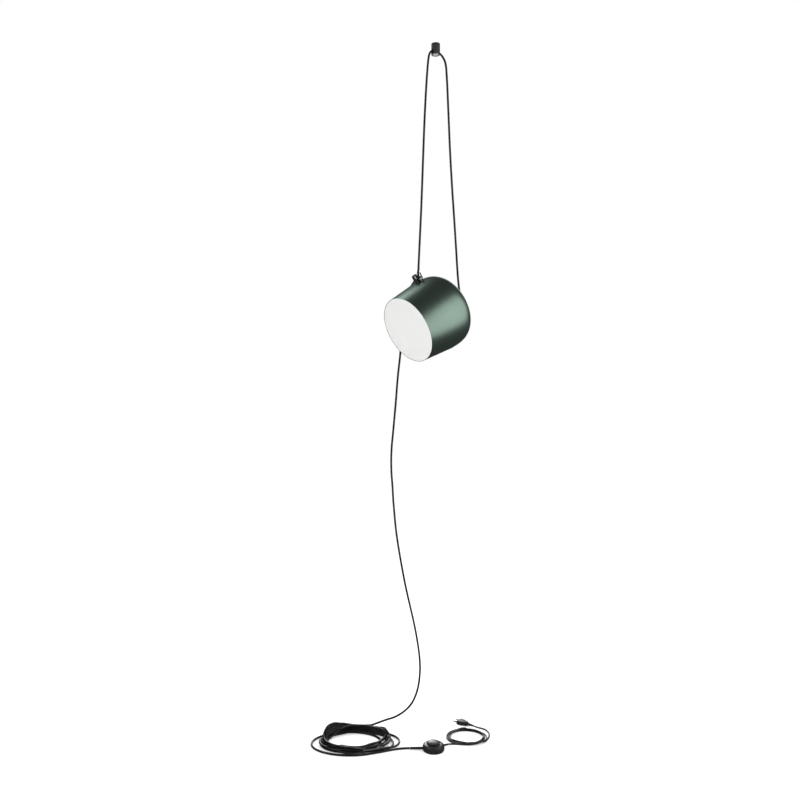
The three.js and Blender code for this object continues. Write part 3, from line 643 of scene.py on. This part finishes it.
def rubber(name, colour, light):
    """Moulded soft rubber: 1 mm mottled matt skin that scatters a faint grey bloom."""
    material, tree, shader = start_material(name, IOR=1.52, Roughness=0.62, Sheen_Weight=0.1,
                                            Sheen_Roughness=0.5)
    place = put(tree, "TexCoord").outputs["Object"]
    skin = put(tree, "TexNoise", {"Vector": place, "Scale": 1 / (1 * MM), "Detail": 3.0})
    tint = put(tree, "Mix", {0: skin.outputs[0], 6: linear(colour), 7: linear(light)}, data_type="RGBA")
    bump = put(tree, "Bump", {"Height": skin.outputs[0], "Strength": 0.2, "Distance": 0.1 * MM})
    tree.links.new(tint.outputs[2], shader.inputs["Base Color"])
    tree.links.new(bump.outputs[0], shader.inputs["Normal"])
    return material


black_metal = blackened_metal("black_nickel_plated_turned_brass", "818284", "8f9092", 0.16)
black_rubber = rubber("moulded_rubber_black", "161618", "1e1e20")
turned_brass = turned_metal("turned_brass", "c8a864", "a98a48")
GLAND_FACE = SHADE_LENGTH + 0.3
piece(spun([(GLAND_BORE, 186, 0), (5.8, 186, 0.3), (5.8, GLAND_FACE, 0), (11, GLAND_FACE, 0.4),
            (11, 200.2, 0.5), (9, 201.4, 0.3), (9, 205, 0.6),
            (GLAND_BORE, 205, 0.2)], steps=48, closed=True),
      "gland_body", black_metal, "lamp_head", ["rear_gland"], place=to_head)
dress(turned_brass, "gland_nut")
BOOT_GROOVES = 4
boot = [(GLAND_BORE, 205.3, 0), (7, 205.3, 0.4)]
for groove in range(BOOT_GROOVES):
    height = 208 + 4 * groove
    radius = 6.9 - 0.4 * groove
    boot += [(radius, height, 0.2), (radius - 0.9, height + 0.5, 0.2), (radius - 0.9, height + 1.3, 0.2),
             (radius - 0.2, height + 1.8, 0.2)]
boot += [(5.2, 224.4, 0.5), (GLAND_BORE, 224.4, 0)]
piece(spun(boot, steps=40, closed=True), "gland_boot_ribbed", black_rubber, "lamp_head",
      ["gland_boot"], place=to_head)

# ---- Cord clamp ----------------------------------------------------------
# A black clamp stands on the shade: a flared neck, and a round fork whose slot grips the cord
# on a rubber pad. A stud set in its underside passes through the shade to a washer and a nut.
CLAMP_RADIUS = 16.0
CLAMP_BASE = 4.0
CLAMP_TOP = 23.0
SLOT_WIDTH = 9.5
SLOT_SHIFT = -6.5  # of the slot from the middle, which leaves one thick prong and one thin
SLOT_FLOOR = 10.0
SLOT_TURN = 53.5


def box(width, depth, low, high, edge=0.0):
    """A block centred on Z between two heights, in millimetres, with its edges rounded."""
    bm = bmesh.new()
    bmesh.ops.create_cube(bm, size=1)
    bm.transform(at(z=(low + high) / 2) @ Matrix.Diagonal((width * MM, depth * MM, (high - low) * MM, 1)))
    if edge:
        bmesh.ops.bevel(bm, geom=bm.edges[:], offset=edge * MM, affect="EDGES", segments=3, profile=0.5,
                        material=-1)
    return bm


neck = spun([(2.9, -3, 0), (14.5, -3, 0), (14.5, 0.6, 0.5), (12, 2.4, 0.8), (12, CLAMP_BASE - 0.3, 0),
             (2.9, CLAMP_BASE - 0.3, 0)], steps=64, closed=True)
shade_solid = moved(spun([(0, -1, 0), *cup_outline(-0.3)[:-1], (0, SHADE_LENGTH + 0.3, 0)], steps=160),
                    in_head_clamp.inverted())
piece(cut(neck, shade_solid), "clamp_neck_flared", black_metal, "lamp_head",
      ["clamp_neck"], place=to_clamp)
fork = spun([(0, CLAMP_BASE, 0), (CLAMP_RADIUS, CLAMP_BASE, 0.8), (CLAMP_RADIUS, CLAMP_TOP, 1.0),
             (0, CLAMP_TOP, 0)], steps=96)
across_fork = turn(SLOT_TURN, "Z") @ at(y=SLOT_SHIFT)
slot_tool = moved(box(40, SLOT_WIDTH, SLOT_FLOOR, CLAMP_TOP + 5), across_fork)
lip_tool = moved(box(40, SLOT_WIDTH + 3, CLAMP_TOP - 1.5, CLAMP_TOP + 5), across_fork)
stud_hole = spun([(0, 0, 0), (2.9, 0, 0), (2.9, 9, 0), (0, 9, 0)], steps=32)
piece(cut(fork, slot_tool, lip_tool, stud_hole), "clamp_fork_slotted", black_metal, "lamp_head",
      ["clamp_fork"], place=to_clamp, sharp=30)
piece(moved(box(20, SLOT_WIDTH - 1, SLOT_FLOOR + 0.3, SLOT_FLOOR + 1.8, edge=0.4), across_fork),
      "clamp_grip_pad", black_rubber, "lamp_head", ["clamp_pad"], place=to_clamp)
dress(zinc_steel, "clamp_stud", "clamp_washer", "clamp_nut")

# ---- Foot dimmer: housing ------------------------------------------------
# A low round dimmer of moulded black ABS: a base plate on a rubber ring, and a cover with a
# rolled shoulder, held by two screws from below.
SWITCH_PLACE = (-7, 0, FLOOR)
SWITCH_RADIUS = 35.5
CORD_ENTRY = 6.0
MAINS_EXIT_TURN = 30.0
LAMP_RELIEF_RADIUS = 4.5
MAINS_RELIEF_RADIUS = 3.8
SWITCH_SCREW_PLACES = (-30.3, 30.3)
to_switch = at(*SWITCH_PLACE)
lamp_side = at(z=CORD_ENTRY) @ turn(-90, "Y")
mains_side = at(z=CORD_ENTRY) @ turn(MAINS_EXIT_TURN, "Z") @ turn(90, "Y")


def entry_tools():
    """The two round openings for the strain reliefs."""
    return [moved(spun([(0, 28, 0), (radius + 0.3, 28, 0), (radius + 0.3, 60, 0), (0, 60, 0)], steps=40),
                  side)
            for radius, side in ((LAMP_RELIEF_RADIUS, lamp_side), (MAINS_RELIEF_RADIUS, mains_side))]


cover = spun([(SWITCH_RADIUS, 5.1, 0.4), (SWITCH_RADIUS, 12.5, 1.5), (34.8, 16, 1.2), (32.6, 18.7, 1.2),
              (29.5, 20.3, 1.0), (25, 20.9, 1.0), (19.8, 20.9, 0.4), (19.8, 19.4, 0.2), (28.5, 18.9, 0),
              (31, 17.2, 0), (32.6, 14.8, 0), (33.2, 12, 0), (33.2, 5.1, 0)], steps=96, closed=True)
piece(cut(cover, *entry_tools()), "dimmer_cover", black_moulding, "ceiling_and_floor",
      ["switch_cover"], place=to_switch, sharp=30)
base = spun([(0, 1.5, 0), (34.9, 1.5, 0.5), (34.9, 4.8, 0.3), (0, 4.8, 0)], steps=96)
screw_sinks = [moved(spun([(0, 0, 0), (2.9, 0, 0), (2.9, 3.4, 0), (1.6, 3.4, 0), (1.6, 6, 0), (0, 6, 0)],
                          steps=24), at(y=y)) for y in SWITCH_SCREW_PLACES]
piece(cut(base, *entry_tools(), *screw_sinks), "dimmer_base", black_moulding, "ceiling_and_floor",
      ["switch_base"], place=to_switch, sharp=30)
piece(spun([(26, 0, 0.3), (33.5, 0, 0.3), (33.5, 1.2, 0.2), (26, 1.2, 0.2)], steps=72, closed=True),
      "dimmer_foot_ring", black_rubber, "ceiling_and_floor", ["switch_foot_ring"],
      place=to_switch)
dress(zinc_steel, "switch_screw_1", "switch_screw_2")
dress(board_green, "switch_board")
dress(grey_moulding, "switch_module", "switch_plunger")

# ---- Foot dimmer: button -------------------------------------------------
# A domed pedal button of the same ABS, polished on top by use, that drops 3 mm into the cover
# and is kept by its flange.
worn_moulding = moulded_plastic("moulded_abs_black_polished", "1c1c1e", "262628", 0.38, spark=1.2)
piece(spun([(0, 29.3, 0), (8, 29.0, 2), (14, 28.2, 2), (18.5, 26.8, 1.2), (21.2, 25.2, 0.6),
            (22, 24.4, 0.2), (21.6, 24.2, 0), (19, 24.2, 0.3),
            (19, 19, 0.2), (21.5, 19, 0.3), (21.5, 17.5, 0.3),
            (17, 17.5, 0), (17, 23.5, 0.6), (12, 25.8, 1), (5, 27, 0.5), (5, 18, 0.3), (0, 18, 0)],
           steps=96),
      "dimmer_button_dome", worn_moulding, "dimmer_button", ["switch_button"],
      place=to_switch)

# ---- Foot dimmer: return spring ------------------------------------------
# Four turns of 1.2 mm spring steel wire round the plunger. It stands on the module and shortens
# by the button's whole travel.
SPRING_BOTTOM = 13.3
SPRING_TOP = 25.3
SPRING_RADIUS = 7.5
SPRING_WIRE = 1.2
SPRING_TURNS = 4
SPRING_STEPS = 32 * SPRING_TURNS
spring_line = []
for i in range(SPRING_STEPS + 1):
    angle = 2 * math.pi * SPRING_TURNS * i / SPRING_STEPS
    spring_line.append((SWITCH_PLACE[0] + SPRING_RADIUS * math.cos(angle), SPRING_RADIUS * math.sin(angle),
                        FLOOR + SPRING_BOTTOM + (SPRING_TOP - SPRING_BOTTOM) * i / SPRING_STEPS))
spring, _ = tube("dimmer_return_spring", spring_line, SPRING_WIRE, zinc_steel,
                 ["switch_spring"])
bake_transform(spring)

# ---- Foot dimmer: strain reliefs -----------------------------------------
# Soft rubber sleeves moulded onto the cords, thick where they leave the housing and ribbed
# and tapered down to the cord.


RELIEF_ROOT = 30.0  # from the dimmer's middle, inside the housing
RELIEF_RIBBED_FROM = 37.5  # just outside the housing


def relief_outline(length, radius, cord_radius, ribs):
    """A tapered sleeve, straight to the housing's edge and ribbed beyond it."""
    tip = cord_radius + 0.7
    outline = [(0, RELIEF_ROOT, 0), (radius, RELIEF_ROOT, 0.2), (radius, RELIEF_RIBBED_FROM, 0)]
    for i in range(ribs):
        share = (i + 0.6) / (ribs + 0.5)
        along = RELIEF_RIBBED_FROM + length * share
        here = radius + (tip - radius) * share
        outline += [(here, along, 0.15), (here - 0.5, along + 0.4, 0.15), (here - 0.5, along + 1.2, 0.15),
                    (here - 0.05, along + 1.6, 0.15)]
    end = RELIEF_RIBBED_FROM + length
    return outline + [(tip, end, 0.4), (0, end, 0)]


lamp_relief = piece(spun(relief_outline(39.5, LAMP_RELIEF_RADIUS, CORD_DIAMETER / 2, 7), steps=40),
                    "lamp_relief_sleeve", black_rubber, "ceiling_and_floor",
                    ["lamp_side_relief"], place=to_switch @ lamp_side)
MAINS_DIAMETER = 5.0
mains_relief = piece(spun(relief_outline(18.5, MAINS_RELIEF_RADIUS, MAINS_DIAMETER / 2, 4), steps=40),
                     "mains_relief_sleeve", black_rubber, "ceiling_and_floor",
                     ["mains_side_relief"], place=to_switch @ mains_side)

# ---- Plug ----------------------------------------------------------------
# A flat two-pin plug moulded onto the lead in black ABS, with nickel-plated brass pins that
# are sleeved half way, and its own tapered relief of soft rubber.
PLUG_PLACE = (90.1, 202.6, FLOOR + 7.1)
PLUG_TURN = 143.0
PIN_PLACES = (-9.2, 9.2)
PLUG_HALF_THICKNESS = 6.85
PLUG_OUTLINE = [(0, 12.5), (-6, 14), (-16, 13.5), (-28, 9.5), (-38, 6)]
to_plug = at(*PLUG_PLACE) @ turn(PLUG_TURN, "Z")


def plug_blank():
    """The plug's flat body: its outline, filled, drawn up to its thickness and well rounded."""
    bm = bmesh.new()
    sides = PLUG_OUTLINE + [(x, -y) for x, y in reversed(PLUG_OUTLINE)]
    corners = [bm.verts.new((x * MM, y * MM, -PLUG_HALF_THICKNESS * MM)) for x, y in sides]
    face = bm.faces.new(corners)
    upper = bmesh.ops.extrude_face_region(bm, geom=[face])["geom"]
    bmesh.ops.translate(bm, vec=(0, 0, 2 * PLUG_HALF_THICKNESS * MM),
                        verts=[v for v in upper if isinstance(v, bmesh.types.BMVert)])
    bmesh.ops.recalc_face_normals(bm, faces=bm.faces)
    flat = [e for e in bm.edges if abs(e.verts[0].co.z - e.verts[1].co.z) < 0.1 * MM]
    bmesh.ops.bevel(bm, geom=flat, offset=2.6 * MM, affect="EDGES", segments=5, profile=0.5, material=-1)
    return bm


pin_bores = [moved(spun([(0, -9, 0), (1.5, -9, 0), (1.5, 12, 0), (0, 12, 0)], steps=32),
                   at(y=y) @ turn(90, "Y")) for y in PIN_PLACES]
plug_shell = piece(cut(plug_blank(), *pin_bores), "plug_moulding", black_moulding, "ceiling_and_floor",
                   ["plug_body"], place=to_plug, sharp=40)
nickel = turned_metal("nickel_plated_brass", "c4c4c0", "a6a6a2")
for number, y in enumerate(PIN_PLACES, 1):
    along = to_plug @ at(y=y) @ turn(90, "Y")
    sleeve = spun([(1.5, -3, 0), (2, -3, 0), (2, 9, 0.3), (1.5, 9, 0)], steps=32, closed=True)
    piece(sleeve, f"plug_sleeve_{number}", black_moulding, "ceiling_and_floor",
                      place=along)
    pin = spun([(0, -7.6, 0), (1.2, -7.6, 0.2), (1.2, 9.3, 0), (2, 9.3, 0.1), (2, 19, 1.2), (0, 19, 0)],
               steps=32)
    piece(pin, f"plug_pin_{number}_plated", nickel, "ceiling_and_floor",
                      [f"plug_pin_{number}"], place=along)
tail = [(0, 38.3, 0), (5, 38.3, 0.4)]
for i in range(4):
    height = 41 + 3.8 * i
    radius = 4.8 - 0.36 * i
    tail += [(radius, height, 0.15), (radius - 0.6, height + 0.5, 0.15), (radius - 0.6, height + 1.3, 0.15),
             (radius - 0.15, height + 1.8, 0.15)]
tail += [(3.2, 57.2, 0.3), (0, 57.2, 0)]
plug_tail = piece(spun(tail, steps=40), "plug_relief_ribbed", black_rubber, "ceiling_and_floor",
                  ["plug_relief"], place=to_plug @ turn(-90, "Y"))

# ---- Mains lead ----------------------------------------------------------
# A thinner 5 mm lead of the same black PVC, loosely wound once it leaves the dimmer, with the
# plug lying on its flat side at its end.
MAINS_REST = MAINS_DIAMETER / 2 + 0.3
MAINS_IN = [(42, 28.3, 5.9), (46, 30.5, 5.2), (50.5, 33.2, 4), (55, 36.1, 3.1)]
MAINS_TAIL = [
    (182.6, 84, 2.8), (186, 97, 2.8), (187.4, 113, 2.8), (184.6, 130.5, 2.8), (178, 144.5, 2.8),
    (168.5, 153.6, 2.8), (158, 158.6, 3.2), (148.5, 161.6, 4.6), (141.5, 164.4, 6.3), (136.5, 167.6, 7),
]
# Each turn from the dimmer's side onwards: its middle, half width, half depth and skew.
SMALL_COIL_TURNS = [
    (107, 87, 63, 54.5, 0), (105, 87, 57, 48.8, 0), (114, 87, 60, 52, 0), (110, 87, 71, 58, 0),
]
SMALL_COIL_START = -110.0
SMALL_COIL_END = 1055.0
small_plan = coil(SMALL_COIL_TURNS, SMALL_COIL_START, SMALL_COIL_END)
small_laid = settle(small_plan, MAINS_DIAMETER, MAINS_REST)
entering = [(x, y, FLOOR + z) for x, y, z in MAINS_IN]
leaving = [(x, y, FLOOR + z) for x, y, z in MAINS_TAIL]
mains, mains_path = tube("mains_cord", through(entering + small_laid[4:-3] + leaving), MAINS_DIAMETER,
                         black_pvc, ["mains_lead_in", "mains_coil", "mains_lead_tail"])
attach(mains, "ceiling_and_floor")

# ---- Studio --------------------------------------------------------------
# Plain white paper under a large soft light from the front right. Weaker ones stand to the left,
# above, behind and low in front, and one is aimed at what lies on the floor. The surround is an
# even white that glossy surfaces see as dim.
EYE = (-116.0, -2441.7, -1158.7)
LENS = 33.75


def floor_white():
    """Matt white studio paper with a faint 200 mm unevenness, lit through from below."""
    material, tree, shader = start_material("studio_paper_white", Roughness=0.9, Emission_Strength=0.22)
    shader.inputs["Emission Color"].default_value = linear("ffffff")
    place = put(tree, "TexCoord").outputs["Object"]
    clouds = put(tree, "TexNoise", {"Vector": place, "Scale": 1 / (200 * MM), "Detail": 1.0})
    tint = put(tree, "Mix", {0: clouds.outputs[0], 6: linear("f4f4f4"), 7: linear("f8f8f8")},
               data_type="RGBA")
    tree.links.new(tint.outputs[2], shader.inputs["Base Color"])
    return material


bm = bmesh.new()
bmesh.ops.create_grid(bm, x_segments=1, y_segments=1, size=60)
floor = piece(bm, "studio_floor", floor_white(), None, place=at(z=FLOOR - 0.1))
floor.visible_glossy = False


def softbox(name, place, aim, size, watts, spread=180):
    """A round soft light in metres and watts, aimed at a point and unseen by the camera."""
    data = bpy.data.lights.new(name, "AREA")
    data.shape = "DISK"
    data.size = size
    data.energy = watts
    data.spread = math.radians(spread)
    light = bpy.data.objects.new(name, data)
    light.location = place
    light.rotation_euler = (Vector(aim) - Vector(place)).to_track_quat("-Z", "Y").to_euler()
    light.visible_camera = False
    bpy.context.scene.collection.objects.link(light)


HEAD_MIDDLE = (-0.03, 0.04, -0.9)
softbox("key_softbox", (2.36, -0.95, -0.65), HEAD_MIDDLE, 3.6, 38)
softbox("fill_softbox", (-2.6, -1.2, 0.2), HEAD_MIDDLE, 1.4, 12)
softbox("top_softbox", (-1.2, 0.9, 1.2), HEAD_MIDDLE, 1.5, 8)
softbox("rear_softbox", (0.8, 2.8, 0.1), HEAD_MIDDLE, 2.0, 12)
softbox("floor_strip", (-0.3, 2.6, -1.2), (-0.1, 0.08, -2.29), 1.2, 2, spread=44)
softbox("low_softbox", (-0.81, -0.72, -1.73), (-0.06, -0.04, -0.76), 0.8, 2.4)

world = bpy.data.worlds.new("studio_surround")
bpy.context.scene.world = world
world.use_nodes = True
surround = world.node_tree
surround.nodes.clear()
rays = put(surround, "LightPath")
bright = put(surround, "Background", {"Color": linear("ffffff"), "Strength": 1.0})
dim = put(surround, "Background", {"Color": linear("ffffff"), "Strength": 0.06})
either = put(surround, "MixShader", {0: rays.outputs["Is Glossy Ray"], 1: bright.outputs[0],
                                     2: dim.outputs[0]})
put(surround, "OutputWorld", {"Surface": either.outputs[0]})

camera_data = bpy.data.cameras.new("camera")
camera_data.lens = LENS
camera_data.sensor_width = 36
camera = bpy.data.objects.new("camera", camera_data)
camera.location = Vector(EYE) * MM
camera.rotation_euler = (math.pi / 2, 0, 0)
bpy.context.scene.collection.objects.link(camera)
bpy.context.scene.camera = camera
bpy.context.scene.view_settings.view_transform = "Standard"
